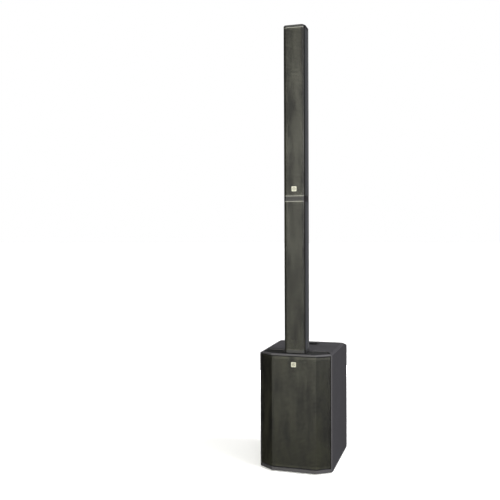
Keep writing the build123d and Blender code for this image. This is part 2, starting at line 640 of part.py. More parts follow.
# ---------------------------------------------------------------- columns
FOAM_BACK = 5.0                  # the foam fills the space from the grille back to this setback
COLUMN_GRILLE_HALF = COLUMN_HALF - 5.2
GRILLE_RETURN_Y = COLUMN_FRONT + 13.0
GROOVE_LIP_Y = COLUMN_FRONT + 13.0        # front edge of the body's side; the groove slopes in behind it
GROOVE_END_Y = COLUMN_FRONT + 22.0
CORE_HALF = COLUMN_GRILLE_HALF - SHEET - 0.3
REAR_RADIUS = 14.0
WALL = 3.0
BAFFLE_HALF = 41.0
BAFFLE_Y = facet_y(COLUMN_FRONT, COLUMN_FLAT_HALF, 6.7, BAFFLE_HALF)
BAFFLE_THICK = 6.0
BOSS_PLACES = [(side * x, y) for side in (-1, 1)
               for x, y in ((45.0, COLUMN_FRONT + 36.0), (43.0, COLUMN_BACK - 8.5))]
MID_PITCH = 88.0
MID_Z = [1379.0 + i * MID_PITCH for i in range(3)] + [1857.0 + i * MID_PITCH for i in range(3)]
TWEETER_Z = 1706.0


def profile(front_points, half, back_y, radius, z0, z1, step=()):
    """Prism with a swept front, straight sides and two large rounded back corners."""
    turns = [step[0], (half, step[1])] if step else []
    points = [(-x, y) for x, y in reversed(turns)] + front_points + turns
    lines = Polyline(*points)
    start, end = points[0], points[-1]
    rear = [
        Line(end, (half, back_y - radius)),
        RadiusArc((half, back_y - radius), (half - radius, back_y), -radius),
        Line((half - radius, back_y), (radius - half, back_y)),
        RadiusArc((radius - half, back_y), (-half, back_y - radius), -radius),
        Line((-half, back_y - radius), start),
    ]
    face = make_face([*lines.edges()] + [e for line in rear for e in line.edges()])
    return extrude(Pos(0, 0, z0) * face, z1 - z0)


def column_tube(z0, z1):
    """Extruded body: full wall behind the grille, a shadow groove down each side and four screw channels."""
    outside = profile(column_line(6.0, CORE_HALF), COLUMN_HALF, COLUMN_BACK, REAR_RADIUS, z0, z1,
                      ((CORE_HALF, GROOVE_END_Y), GROOVE_LIP_Y))
    hollow = profile(column_line(6.0 + WALL, CORE_HALF - WALL), COLUMN_HALF - WALL, COLUMN_BACK - WALL,
                     REAR_RADIUS - WALL, z0 - 1, z1 + 1,
                     ((CORE_HALF - WALL, GROOVE_END_Y + 5), GROOVE_LIP_Y + 11))
    tube = outside - hollow
    for x, y in BOSS_PLACES:
        tube += upright(4.6, z0, z1, x, y)
        tube -= upright(2.1, z0 - 1, z0 + 16, x, y) + upright(2.1, z1 - 16, z1 + 1, x, y)
    return tube


def end_plate(z0, z1):
    """Full outline of the column, its side grooves included, with a small bevel round both rims."""
    plate = profile(column_line(0, COLUMN_GRILLE_HALF), COLUMN_HALF, COLUMN_BACK, REAR_RADIUS, z0, z1,
                    ((COLUMN_GRILLE_HALF, GROOVE_END_Y - 2.3), GROOVE_LIP_Y))
    rims = [e for e in plate.edges() if abs(e.center().Z - z0) < 0.01 or abs(e.center().Z - z1) < 0.01]
    return chamfer(rims, 0.8)


def bottom_cap(seat_z):
    """End cap with the spigot that plugs into the piece below."""
    cap = end_plate(seat_z, seat_z + CAP)
    spigot = round_block(SPIGOT[0], SPIGOT[1], seat_z - SPIGOT[2], seat_z + 1, 3, 0, COLUMN_MIDDLE_Y)
    rim = [e for e in spigot.edges() if abs(e.center().Z - (seat_z - SPIGOT[2])) < 0.01]
    cap += chamfer(rim, 1.5)
    end = seat_z - SPIGOT[2]
    cap -= round_block(PLUG_BLOCK[0], PLUG_BLOCK[1], end - 1, end + PLUG_BLOCK[2], 2, 0, COLUMN_MIDDLE_Y)
    cap -= upright(6, end, seat_z + CAP + 1, 0, COLUMN_MIDDLE_Y)
    for x, y in BOSS_PLACES:
        cap -= Pos(x, y, seat_z) * Rotation(180, 0, 0) * countersink(2.0, 30)
    return cap


def column_screws(faces):
    """Flat-head screws of the end caps; faces lists (z, True if the head looks up)."""
    down = countersunk_screw(2.0, 28)
    up = Rotation(180, 0, 0) * down
    return [Pos(x, y, z) * (down if looks_up else up) for z, looks_up in faces for x, y in BOSS_PLACES]


def column_grille(z0, z1):
    return folded_grille(column_line, COLUMN_GRILLE_HALF, z0, z1, GRILLE_RETURN_Y)


def column_foam(z0, z1):
    half = CORE_HALF - 0.4
    back = list(reversed(column_line(FOAM_BACK, half)))
    return prism(column_line(SHEET + 0.1, half) + back, z0 + 1, z1 - 1)


LOWER_FACES = [(SEAT_Z, False), (SEAM_Z, True)]
UPPER_FACES = [(SEAM_Z, False), (TOP_Z, True)]


def lower_top_cap():
    cap = end_plate(SEAM_Z - CAP, SEAM_Z) + socket_box(SEAM_Z, SEAM_Z - CAP + 1)
    cap -= socket_pocket(SEAM_Z)
    for x, y in BOSS_PLACES:
        cap -= Pos(x, y, SEAM_Z) * countersink(2.0, 30)
    return cap


def lower_wiring():
    """Loom between the lower column's plug and its socket."""
    y = COLUMN_MIDDLE_Y
    route = [(0, y, SEAT_Z - SPIGOT[2] + PLUG_BLOCK[2]), (0, y, 640), (9, y + 6, 750), (-8, y - 5, 860),
             (7, y + 7, 970), (-6, y - 4, 1080), (0, y, 1180), (0, y, SEAM_Z - SOCKET_DEPTH)]
    return sweep(Plane(origin=route[0], z_dir=(0, 0, 1)) * Circle(3.6),
                 path=FilletPolyline(*route, radius=60))


def upper_housing():
    z0, z1 = SEAM_Z + CAP, TOP_Z - CAP
    return column_tube(z0, z1) - block(-BAFFLE_HALF, BAFFLE_HALF, COLUMN_FRONT, COLUMN_FRONT + 20, z0 - 1,
                                       z1 + 1)


def driver_baffle():
    plate = block(-BAFFLE_HALF + 0.1, BAFFLE_HALF - 0.1, BAFFLE_Y, BAFFLE_Y + BAFFLE_THICK,
                  SEAM_Z + CAP, TOP_Z - CAP)
    for z in MID_Z:
        plate -= facing_front(upright(36.2, -10, 5), 0, BAFFLE_Y, z)
    return plate - block(-32.5, 32.5, BAFFLE_Y - 1, BAFFLE_Y + 10, TWEETER_Z - 44, TWEETER_Z + 44)


def mid_drivers():
    """Frames of the six 3-inch drivers, each with its magnet cup."""
    frame = turned([(35, -7), (35, 2.4), (38.5, 2.4), (38.5, 0), (36, 0), (36, -8), (23, -26), (13, -26),
                    (13, -24), (22, -24)])
    magnet = turned([(0, -40), (19, -40), (20, -39), (20, -26), (12.4, -26), (12.4, -34), (9.8, -34),
                     (9.8, -26.5),
                     (0, -26.5)])
    return group([facing_front(s, 0, BAFFLE_Y, z) for z in MID_Z for s in (frame, magnet)])


def mid_cones():
    """Cone, roll surround and dome of each 3-inch driver, which all move together."""
    outline = [(0, -10.0), (6, -10.6), (11, -12.5), (29.5, -0.6), (30.6, 1.2), (32.2, 1.9), (33.8, 1.2),
               (34.6, -0.6),
               (34.6, -1.4), (33.9, -1.4), (33.2, 0.3), (32.2, 0.9), (31.2, 0.3), (30.2, -1.4), (11.6, -14.2),
               (11.6, -30.0), (10.6, -30.0), (10.6, -13.9), (0, -11.2)]
    return group([facing_front(turned(outline), 0, BAFFLE_Y, z) for z in MID_Z])


def tweeter_waveguide():
    """Rectangular horn mouth that narrows to the high driver's round throat."""
    flange = extrude(RectangleRounded(76, 104, 4), 2.4)
    outside = loft([Pos(0, 0, 0) * RectangleRounded(63, 86, 10),
                    Pos(0, 0, -34) * RectangleRounded(32, 32, 15.9)])
    inside = loft([Pos(0, 0, 2.5) * RectangleRounded(60, 83, 10),
                   Pos(0, 0, -34.1) * RectangleRounded(26, 26, 12.9)])
    return facing_front(flange + outside - inside, 0, BAFFLE_Y, TWEETER_Z)


def tweeter_driver():
    body = turned([(12.9, -34), (30, -34), (30, -38), (27, -41), (27, -60), (24, -63), (0, -63), (0, -44),
                   (12.9, -44)])
    return facing_front(body, 0, BAFFLE_Y, TWEETER_Z)


def upper_wiring():
    """Loom from the upper column's plug to the back of the high driver."""
    y, back = COLUMN_MIDDLE_Y, BAFFLE_Y + 74
    route = [(0, y, SEAM_Z - SPIGOT[2] + PLUG_BLOCK[2]), (0, y, SEAM_Z + 26), (0, back, SEAM_Z + 70),
             (0, back, TWEETER_Z), (0, BAFFLE_Y + 63, TWEETER_Z)]
    return sweep(Plane(origin=route[0], z_dir=(0, 0, 1)) * Circle(3.0), path=FilletPolyline(*route, radius=8))


def upper_top_cap():
    cap = end_plate(TOP_Z - CAP, TOP_Z)
    for x, y in BOSS_PLACES:
        cap -= Pos(x, y, TOP_Z) * countersink(2.0, 30)
    return cap


# ---------------------------------------------------------------- the nodes
NODES = {
    "cabinet_shell": cabinet_shell,
    "woofer_baffle": woofer_baffle,
    "sub_grille": sub_grille,
    "sub_grille_foam": sub_grille_foam,
    "sub_badge": sub_badge,
    "woofer_basket": woofer_basket,
    "woofer_motor": woofer_motor,
    "woofer_spider": woofer_spider,
    "woofer_screws": woofer_screws,
    "woofer_cone": woofer_cone,
    "woofer_surround": woofer_surround,
    "woofer_dust_cap": woofer_dust_cap,
    "woofer_voice_coil": woofer_voice_coil,
    "port_tubes": port_tubes,
    "column_dock": column_dock,
    "dock_socket": dock_socket,
    "handle_cup": handle_cup,
    "countersunk_screws": countersunk_screws,
    "feet": feet,
    "amp_panel": amp_panel,
    "amp_panel_screws": amp_panel_screws,
    "amp_housing": amp_housing,
    "heat_sink": heat_sink,
    "amp_boards": amp_boards,
    "combo_jacks": combo_jacks,
    "line_sockets": line_sockets,
    "mains_inlet": mains_inlet,
    "switch_frame": switch_frame,
    "power_rocker": power_rocker,
    "status_lens": status_lens,
    "mode_button": mode_button,
    "woofer_lead": woofer_lead,
    "lower_housing": lambda: column_tube(SEAT_Z + CAP, SEAM_Z - CAP),
    "lower_grille": lambda: column_grille(SEAT_Z + CAP, SEAM_Z - CAP),
    "lower_grille_foam": lambda: column_foam(SEAT_Z + CAP, SEAM_Z - CAP),
    "lower_bottom_cap": lambda: bottom_cap(SEAT_Z),
    "lower_top_cap": lower_top_cap,
    "lower_plug": lambda: contact_plug(SEAT_Z),
    "lower_socket": lambda: contact_socket(SEAM_Z),
    "lower_wiring": lower_wiring,
    "lower_cap_screws": lambda: group(column_screws(LOWER_FACES)),
    "upper_housing": upper_housing,
    "driver_baffle": driver_baffle,
    "upper_grille": lambda: column_grille(SEAM_Z + CAP, TOP_Z - CAP),
    "upper_grille_foam": lambda: column_foam(SEAM_Z + CAP, TOP_Z - CAP),
    "upper_badge": lambda: badge(COLUMN_FRONT, 0, SEAM_Z + 46.0),
    "upper_bottom_cap": lambda: bottom_cap(SEAM_Z),
    "upper_top_cap": upper_top_cap,
    "upper_plug": lambda: contact_plug(SEAM_Z),
    "mid_drivers": mid_drivers,
    "mid_cones": mid_cones,
    "tweeter_waveguide": tweeter_waveguide,
    "tweeter_driver": tweeter_driver,
    "upper_wiring": upper_wiring,
    "upper_cap_screws": lambda: group(column_screws(UPPER_FACES)),
}
for number, name in enumerate(("channel_1_knob", "channel_2_knob", "channel_3_knob", "sub_level_knob",
                               "main_knob")):
    NODES[name] = lambda number=number: knob(number)

os.makedirs("parts", exist_ok=True)
for name, make in NODES.items():
    export_step(make(), f"parts/{name}.step")
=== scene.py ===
"""Finishes, fine shapes, floor, lights and camera of a column loudspeaker system.

Metres, +Z up, and the grilles face -Y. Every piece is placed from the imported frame's own boxes.
"""
import math

import bmesh
import bpy
from mathutils import Matrix, Vector


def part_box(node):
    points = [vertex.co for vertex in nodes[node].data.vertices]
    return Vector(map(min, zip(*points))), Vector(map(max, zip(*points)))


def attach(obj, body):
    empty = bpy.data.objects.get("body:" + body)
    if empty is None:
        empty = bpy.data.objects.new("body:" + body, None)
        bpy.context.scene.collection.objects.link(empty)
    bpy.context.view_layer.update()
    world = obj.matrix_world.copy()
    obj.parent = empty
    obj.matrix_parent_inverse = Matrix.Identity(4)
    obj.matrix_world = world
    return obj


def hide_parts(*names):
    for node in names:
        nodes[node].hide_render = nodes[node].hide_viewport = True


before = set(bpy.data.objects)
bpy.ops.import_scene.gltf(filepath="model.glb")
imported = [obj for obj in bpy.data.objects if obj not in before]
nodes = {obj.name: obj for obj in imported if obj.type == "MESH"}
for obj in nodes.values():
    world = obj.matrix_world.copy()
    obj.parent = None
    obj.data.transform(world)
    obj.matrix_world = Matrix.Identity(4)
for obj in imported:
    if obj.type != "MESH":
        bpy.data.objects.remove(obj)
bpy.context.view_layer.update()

MM = 0.001
TINY = 0.001 * MM                        # closer than this, two places are the same
FACET_ANGLE = math.radians(34.5)         # how far the grilles' side facets are swept back
INK = 0.12 * MM                          # thickness of a printed mark

HOLE_PITCH = 7.0 * MM                    # hexagonal perforation, centre to centre
HOLE_WEB = 2.2 * MM                      # steel left between two holes
SHEET = 1.2 * MM                         # thickness of the perforated steel
SUB_FLAT_HALF = 108 * MM                 # half width of the flat middle of the subwoofer's grille
SUB_MARGINS = 0.5 * MM, 9 * MM           # plain steel outside its holes, at the sides and at the ends
SUB_BEND = 14 * MM                       # radius of its folds
SUB_GAP = 2.2 * MM                       # shadow gap all round it
COLUMN_FLAT_HALF = 39.5 * MM             # the same for the columns' grilles
COLUMN_MARGINS = 1.5 * MM, 5 * MM
COLUMN_BEND = 5 * MM
RIPPLE = 36 * MM                         # width of the ripples left in the grilles by rolling and folding
RIPPLE_STRETCH = 1, 1, 0.22              # they are long and upright,
RIPPLE_LEAN = 0, 0.1, 0                  # and lean a little, in radians
RIPPLE_STREAK_PAINT = 0.5                       # how much of the grilles' colour follows them: painted reflection streaks

COLUMN_GRILLE_HALF = 46.3 * MM           # half width of the columns' grilles and end-cap fronts
LINE_HEIGHT = 1.6 * MM                   # painted highlight line on the end caps
REAR_RADIUS = 14 * MM                    # rounding of the columns' rear corners
REAR_SHADE_REACH = 44 * MM                      # how far the rear band of painted shade comes forward on each side
FILM = 0.3 * MM                          # thickness of the rear band of painted shade and of the painted highlight line


# ---------------------------------------------------------------- materials
BUMP_STRENGTH = 0.6
COAT_ROUGHNESS = 0.2


def linear(code, alpha=1.0):
    """sRGB hex value to the linear colour that the shader takes."""
    parts = [int(code[i:i + 2], 16) / 255 for i in (0, 2, 4)]
    return [c / 12.92 if c <= 0.04045 else ((c + 0.055) / 1.055) ** 2.4 for c in parts] + [alpha]


def add(tree, kind, values=None, links=None, **settings):
    """Adds a node with its settings, its sockets' values and the links into it."""
    made = tree.nodes.new(kind)
    for name, value in settings.items():
        setattr(made, name, value)
    for socket, value in (values or {}).items():
        made.inputs[socket].default_value = value
    for socket, source in (links or {}).items():
        tree.links.new(source, made.inputs[socket])
    return made


def finish(name, dark, light, grain, relief, roughness, pattern="noise", metallic=0.0, coat=0.0, sheen=0.0,
           stretch=(1, 1, 1), edge=0.0, drift=120 * MM, blotch=0.3, spread=0.08, ior=1.5, wave=0.0,
           reach=0.2):
    """A finish whose fine pattern has the real size `grain` and depth `relief`, both in metres.

    The colour runs from dark in the pattern's hollows to light on its tops, and drifts over `drift` by the
    share `blotch`; a small `reach` makes the change between the two steep. `edge` rounds sharp moulded or
    cut edges by that radius, and `wave` is the height of the long upright ripples in a thin sheet.
    The colour partly follows these ripples, as painted reflection streaks.
    """
    material = bpy.data.materials.new(name)
    material.use_nodes = True
    tree = material.node_tree
    tree.nodes.clear()
    place = add(tree, "ShaderNodeTexCoord").outputs["Object"]
    turned = add(tree, "ShaderNodeMapping", {"Scale": stretch}, {"Vector": place}).outputs["Vector"]
    if pattern == "cells":
        cells = add(tree, "ShaderNodeTexVoronoi", {"Scale": 1 / grain}, {"Vector": turned})
        fine = cells.outputs["Distance"]
    else:
        fine = add(tree, "ShaderNodeTexNoise", {"Scale": 1 / grain, "Detail": 3.0, "Roughness": 0.6},
                   {"Vector": turned}).outputs["Fac"]
    broad = add(tree, "ShaderNodeTexNoise", {"Scale": 1 / drift, "Detail": 2.0},
                {"Vector": place}).outputs["Fac"]
    both = add(tree, "ShaderNodeMix", {"Factor": blotch}, {"A": fine, "B": broad}).outputs["Result"]
    if wave:
        upright = add(tree, "ShaderNodeMapping", {"Scale": RIPPLE_STRETCH, "Rotation": RIPPLE_LEAN},
                      {"Vector": place})
        ripple = add(tree, "ShaderNodeTexNoise", {"Scale": 1 / RIPPLE, "Detail": 1.0},
                     {"Vector": upright.outputs["Vector"]}).outputs["Fac"]
        # The colour partly follows the ripples: painted reflection streaks.
        both = add(tree, "ShaderNodeMix", {"Factor": RIPPLE_STREAK_PAINT},
                   {"A": both, "B": ripple}).outputs["Result"]
    low, high = 0.5 - reach, 0.5 + reach
    ramp = add(tree, "ShaderNodeValToRGB", links={"Fac": both})
    ramp.color_ramp.elements[0].position = low
    ramp.color_ramp.elements[0].color = linear(dark)
    ramp.color_ramp.elements[1].position = high
    ramp.color_ramp.elements[1].color = linear(light)
    rough = add(tree, "ShaderNodeMapRange",
                {"From Min": low, "From Max": high,
                 "To Min": roughness + spread, "To Max": roughness - spread},
                {"Value": both}).outputs["Result"]
    links = {"Height": fine}
    if edge:
        links["Normal"] = add(tree, "ShaderNodeBevel", {"Radius": edge}, samples=4).outputs["Normal"]
    if wave:
        links["Normal"] = add(tree, "ShaderNodeBump", {"Strength": 1.0, "Distance": wave},
                              {"Height": ripple}).outputs["Normal"]
    bump = add(tree, "ShaderNodeBump", {"Strength": BUMP_STRENGTH, "Distance": relief},
               links).outputs["Normal"]
    values = {"Metallic": metallic, "IOR": ior, "Coat Weight": coat, "Coat Roughness": COAT_ROUGHNESS,
              "Sheen Weight": sheen}
    shader = add(tree, "ShaderNodeBsdfPrincipled", values,
                 {"Base Color": ramp.outputs["Color"], "Roughness": rough, "Normal": bump})
    add(tree, "ShaderNodeOutputMaterial", links={"Surface": shader.outputs["BSDF"]})
    return material


MATERIALS = {
    # Acrylic lacquer with a spattered texture, sprayed on birch plywood: soft grain, broad dull highlight.
    "cabinet": finish("textured acrylic lacquer, sprayed", "363538", "434246", 2.2 * MM, 0.25 * MM, 0.55,
                      edge=1.2 * MM),
    # Birch plywood under clear sealer: long pale grain that only shows inside.
    "plywood": finish("birch plywood, sealed", "8f6f45", "b8935f", 3 * MM, 0.05 * MM, 0.5,
                      stretch=(0.15, 1, 1)),
    # Steel sheet with a matt powder coat: olive black, mottled, with faint long ripples from the folding; the
    # part of the mottling that follows the ripples is painted reflection streaks.
    "grille": finish("perforated steel, powder coated", "060603", "34342b", 9 * MM, 0.15 * MM, 0.42,
                     stretch=(1, 1, 0.6), drift=14 * MM, blotch=0.35, spread=0.12, wave=0.5 * MM, reach=0.12),
    # Reticulated polyether foam, dyed black: open cells that swallow the light.
    "foam": finish("reticulated polyether foam, cut sheet", "050505", "111111", 1.6 * MM, 0.8 * MM, 0.95,
                   pattern="cells"),
    # Cream enamel filled into a die-cast zinc plate: smooth and slightly glossy.
    "cream": finish("enamel, cream, filled and fired", "b0af9f", "c0bfb0", 6 * MM, 0.01 * MM, 0.35, coat=0.3),
    # Black enamel round it: the same gloss, and a dark outline.
    "dark_enamel": finish("enamel, black, filled and fired", "101011", "1a1a1b", 6 * MM, 0.01 * MM, 0.35,
                          coat=0.3),
    # Die-cast aluminium with black e-coat: close, slightly pebbled skin.
    "cast": finish("die-cast aluminium, black e-coat", "1c1c1d", "2a2a2b", 1.2 * MM, 0.05 * MM, 0.5),
    # Ferrite between zinc-plated steel plates: dark grey with a faint metal sheen.
    "magnet": finish("ferrite, pressed and sintered", "2a2a2c", "3a3a3d", 0.8 * MM, 0.02 * MM, 0.55,
                     metallic=0.4),
    # Cotton cloth stiffened with resin: amber brown and quite dull.
    "spider": finish("cotton cloth, resin treated and pressed", "6d5128", "8f6d3c", 0.6 * MM, 0.08 * MM,
                     0.85),
    # Hardened steel with black oxide: dark, thin oily shine.
    "oxide": finish("hardened steel, black oxide", "151516", "222224", 0.5 * MM, 0.01 * MM, 0.35,
                    metallic=0.7),
    # Coated paper pulp: brownish black and fibrous, with hardly any shine.
    "pulp": finish("paper pulp, pressed and coated", "141312", "232220", 0.9 * MM, 0.06 * MM, 0.75),
    # Moulded natural rubber: deep black, soft sheen.
    "rubber": finish("natural rubber, moulded", "0f0f0f", "191919", 1.0 * MM, 0.03 * MM, 0.7, sheen=0.1),
    # Varnished copper wire, wound in rings: reddish brown metal with fine grooves round the coil.
    "copper": finish("copper wire, wound and varnished", "6e3f22", "93582f", 0.3 * MM, 0.05 * MM, 0.35,
                     metallic=0.8, stretch=(0.1, 1, 0.1)),
    # Glass-filled nylon from a spark-eroded mould: fine even grain, dull satin.
    "moulding": finish("glass-filled nylon, moulded, spark-eroded grain", "1d1d1e", "272729", 0.9 * MM,
                       0.05 * MM, 0.55, pattern="cells", edge=0.8 * MM),
    # Same nylon without the grain, in the dock: painted shade makes it almost black, standing for the little
    # light the recess sees.
    "dock": finish("glass-filled nylon, painted shade of the recess", "070708", "0c0c0d", 0.9 * MM, 0.03 * MM, 0.85),
    # The same nylon from a polished mould, round the contacts: black with a clearer highlight.
    "insulator": finish("glass-filled nylon, moulded, smooth", "111112", "1a1a1b", 0.8 * MM, 0.01 * MM, 0.4),
    # Sheet steel with a fine black powder coat: flat and matt, so the print reads clearly.
    "panel": finish("pressed steel, fine powder coat", "141415", "1c1c1e", 0.9 * MM, 0.04 * MM, 0.5),
    # Zinc-plated sheet steel: pale bluish metal with large, faint crystals.
    "zinc": finish("sheet steel, zinc plated", "8d9194", "abafb1", 9 * MM, 0.01 * MM, 0.35, pattern="cells",
                   metallic=0.9),
    # Extruded aluminium, brushed along its length and anodised black.
    "anodised": finish("extruded aluminium, black anodised", "161618", "232326", 0.7 * MM, 0.03 * MM, 0.4,
                       metallic=0.6, stretch=(1, 1, 0.03)),
    # Glass-epoxy circuit board under solder mask: dark green, smooth and glossy.
    "laminate": finish("glass-epoxy board, solder masked", "123a20", "1d5230", 2.5 * MM, 0.03 * MM, 0.3),
    # Two-shot knob with a soft-touch skin: velvety black with almost no highlight.
    "soft_touch": finish("ABS, soft-touch lacquered", "141415", "1d1d1f", 0.8 * MM, 0.02 * MM, 0.6,
                         sheen=0.15, edge=0.4 * MM),
    # Smoked acrylic: nearly black, with a sharp reflection.
    "lens": finish("acrylic, smoked, polished", "050608", "0b0d10", 8 * MM, 0.002 * MM, 0.12, spread=0.02,
                   coat=0.6, ior=1.49),
    # Extruded aluminium tube with a fine-textured polyester powder coat: a tone cooler than the cabinet.
    "column": finish("extruded aluminium, textured powder coat", "38393d", "434448", 1.3 * MM, 0.12 * MM, 0.5,
                     edge=0.6 * MM),
    # Painted shade over the back of each column: a darker, duller copy of the column's coat, standing for the
    # shade where the sides turn away from the light.
    "rear_painted_shade": finish("rear band, painted shade", "2a2b2e", "333438", 1.0 * MM, 0.04 * MM, 0.75,
                           sheen=0.1),
    # Painted highlight beside the caps: a thin bright line that stands for the cap's edge catching the light.
    "cap_edge_highlight": finish("painted highlight, cap edge", "8f8f88", "b5b5ad", 2 * MM, 0.01 * MM, 0.45),
    # Extruded PVC jacket: black, with an even satin shine.
    "cable": finish("PVC, extruded jacket", "131313", "1c1c1c", 1.5 * MM, 0.02 * MM, 0.45),
    # Screen-print ink on the panel and the knobs: flat light grey.
    "ink": finish("screen-print ink, cured", "b9bab8", "cbccca", 0.8 * MM, 0.005 * MM, 0.6),
    # Nickel-plated brass: bright, slightly warm metal.
    "nickel": finish("brass, nickel plated", "a9a8a4", "c3c2be", 0.8 * MM, 0.005 * MM, 0.25, metallic=1.0),
}

NODE_FINISH = {
    "cabinet": ["cabinet_shell"],
    "plywood": ["woofer_baffle"],
    "grille": ["sub_grille", "lower_grille", "upper_grille"],
    "foam": ["sub_grille_foam", "lower_grille_foam", "upper_grille_foam"],
    "cream": ["sub_badge", "upper_badge"],
    "cast": ["woofer_basket", "mid_drivers"],
    "magnet": ["woofer_motor", "tweeter_driver"],
    "spider": ["woofer_spider"],
    "oxide": ["woofer_screws", "countersunk_screws", "amp_panel_screws", "lower_cap_screws",
              "upper_cap_screws"],
    "pulp": ["woofer_cone", "woofer_dust_cap", "mid_cones"],
    "rubber": ["woofer_surround", "feet"],
    "copper": ["woofer_voice_coil"],
    "dock": ["column_dock"],
    "moulding": ["handle_cup", "port_tubes", "lower_bottom_cap", "lower_top_cap", "upper_bottom_cap",
                 "upper_top_cap", "driver_baffle", "tweeter_waveguide"],
    "insulator": ["dock_socket", "lower_plug", "lower_socket", "upper_plug", "combo_jacks", "line_sockets",
                  "mains_inlet", "switch_frame"],
    "panel": ["amp_panel"],
    "zinc": ["amp_housing"],
    "anodised": ["heat_sink"],
    "laminate": ["amp_boards"],
    "soft_touch": ["channel_1_knob", "channel_2_knob", "channel_3_knob", "sub_level_knob", "main_knob",
                   "mode_button", "power_rocker"],
    "lens": ["status_lens"],
    "column": ["lower_housing", "upper_housing"],
    "cable": ["woofer_lead", "lower_wiring", "upper_wiring"],
}
for key, names in NODE_FINISH.items():
    for name in names:
        nodes[name].data.materials.clear()
        nodes[name].data.materials.append(MATERIALS[key])


# ---------------------------------------------------------------- shape helpers
UPRIGHT = Matrix.Rotation(math.radians(90), 3, "X")     # stands up a flat sheet, so that it faces -Y


def piece(name, bm, material, body, cad_nodes=()):
    """Turns a bmesh into a piece that rides on a body and may stand for CAD nodes."""
    mesh = bpy.data.meshes.new(name)
    bm.to_mesh(mesh)
    bm.free()
    made = bpy.data.objects.new(name, mesh)
    bpy.context.scene.collection.objects.link(made)
    mesh.materials.append(MATERIALS[material])
    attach(made, body)
    if cad_nodes:
        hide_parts(*cad_nodes)
    return made


def thicken(made, thickness, side):
    """Gives a sheet its thickness, outwards for a side of 1 and inwards for -1."""
    wall = made.modifiers.new("thickness", "SOLIDIFY")
    wall.thickness = thickness
    wall.offset = side


def cuboid(bm, low, high):
    """Adds a box between two corners and returns its vertices."""
    low, high = Vector(low), Vector(high)
    size = Matrix.Diagonal((*(high - low), 1))
    return bmesh.ops.create_cube(bm, size=1, matrix=Matrix.Translation((low + high) / 2) @ size)["verts"]


def round_plate(bm, centre, width, height, depth, corner, rim):
    """Adds a plate that faces -Y from centre's Y, with rounded corners and a softened front rim."""
    x, y, z = centre
    verts = cuboid(bm, (x - width / 2, y - depth, z - height / 2), (x + width / 2, y, z + height / 2))
    edges = {e for v in verts for e in v.link_edges}
    across = [e for e in edges if abs(e.verts[0].co.y - e.verts[1].co.y) > depth / 2]
    rounded = bmesh.ops.bevel(bm, geom=across, offset=corner, affect="EDGES", segments=5, profile=0.5,
                              material=-1)
    shape = set(rounded["verts"])
    front = [e for e in {e for v in shape for e in v.link_edges}
             if all(abs(v.co.y - (y - depth)) < depth / 50 for v in e.verts) and len(e.link_faces) == 2
             and abs(e.link_faces[0].normal.dot(e.link_faces[1].normal)) < 0.5]
    if rim:
        bmesh.ops.bevel(bm, geom=front, offset=rim, affect="EDGES", segments=3, profile=0.5, material=-1)


def flat_ring(bm, centre, inner, outer, normal_sign=-1, segments=40, thickness=INK):
    """Adds a thin ring that faces -Y, or +Y for a normal_sign of 1."""
    turn = Matrix.Translation(centre) @ Matrix.Rotation(-normal_sign * math.radians(90), 4, "X")
    rims = []
    for radius in (inner, outer):
        made = bmesh.ops.create_circle(bm, cap_ends=False, radius=radius, segments=segments, matrix=turn)
        rims += {e for v in made["verts"] for e in v.link_edges}
    faces = bmesh.ops.bridge_loops(bm, edges=rims)["faces"]
    grown = bmesh.ops.extrude_face_region(bm, geom=faces)["geom"]
    moved = [g for g in grown if isinstance(g, bmesh.types.BMVert)]
    bmesh.ops.translate(bm, verts=moved, vec=(0, normal_sign * thickness, 0))
    bmesh.ops.recalc_face_normals(bm, faces=bm.faces[:])


# ---------------------------------------------------------------- perforated grilles
def trim(bm, x=None, y=None):
    """Cuts away what lies outside a field of half width x or half height y."""
    for sign in (-1, 1):
        where, out = ((sign * x, 0, 0), (sign, 0, 0)) if x else ((0, sign * y, 0), (0, sign, 0))
        everything = bm.verts[:] + bm.edges[:] + bm.faces[:]
        bmesh.ops.bisect_plane(bm, geom=everything, plane_co=where, plane_no=out, clear_outer=True)


def punched_sheet(width, height, side_margin, end_margin):
    """Flat sheet in XY: a field of hexagonal holes in a plain border."""
    bm = bmesh.new()
    row_step = HOLE_PITCH * math.sqrt(3) / 2
    half_x, half_y = width / 2 - side_margin, height / 2 - end_margin
    columns = math.ceil(2 * half_x / HOLE_PITCH) + 2
    row_pairs = math.ceil(half_y / row_step) + 1
    for row in (0, 1):
        for column in range(columns):
            x = (column - columns / 2 + row / 2) * HOLE_PITCH
            at = Matrix.Translation((x, (row - row_pairs) * row_step, 0))
            bmesh.ops.create_circle(bm, cap_ends=True, radius=HOLE_PITCH / math.sqrt(3), segments=6,
                                    matrix=at)
    pair = bm.verts[:] + bm.edges[:] + bm.faces[:]
    for i in range(1, row_pairs):
        copied = bmesh.ops.duplicate(bm, geom=pair)["geom"]
        verts = [g for g in copied if isinstance(g, bmesh.types.BMVert)]
        bmesh.ops.translate(bm, verts=verts, vec=(0, 2 * i * row_step, 0))
    bmesh.ops.remove_doubles(bm, verts=bm.verts[:], dist=HOLE_PITCH / 50)
    holes = bm.faces[:]
    bmesh.ops.inset_individual(bm, faces=holes, thickness=HOLE_WEB / 2, use_even_offset=True)
    bmesh.ops.delete(bm, geom=holes, context="FACES_ONLY")
    trim(bm, x=half_x)
    trim(bm, y=half_y)
    borders = [(-width / 2, width / 2, half_y, height / 2), (-width / 2, width / 2, -height / 2, -half_y),
               (-width / 2, -half_x, -half_y, half_y), (half_x, width / 2, -half_y, half_y)]
    for x0, x1, y0, y1 in borders:
        middle = Matrix.Translation(((x0 + x1) / 2, (y0 + y1) / 2, 0))
        bmesh.ops.create_grid(bm, x_segments=1, y_segments=1, size=0.5,
                              matrix=middle @ Matrix.Diagonal((x1 - x0, y1 - y0, 1, 1)))
    bmesh.ops.recalc_face_normals(bm, faces=bm.faces[:])
    if bm.faces[0].normal.z < 0:
        bmesh.ops.reverse_faces(bm, faces=bm.faces[:])
    return bm


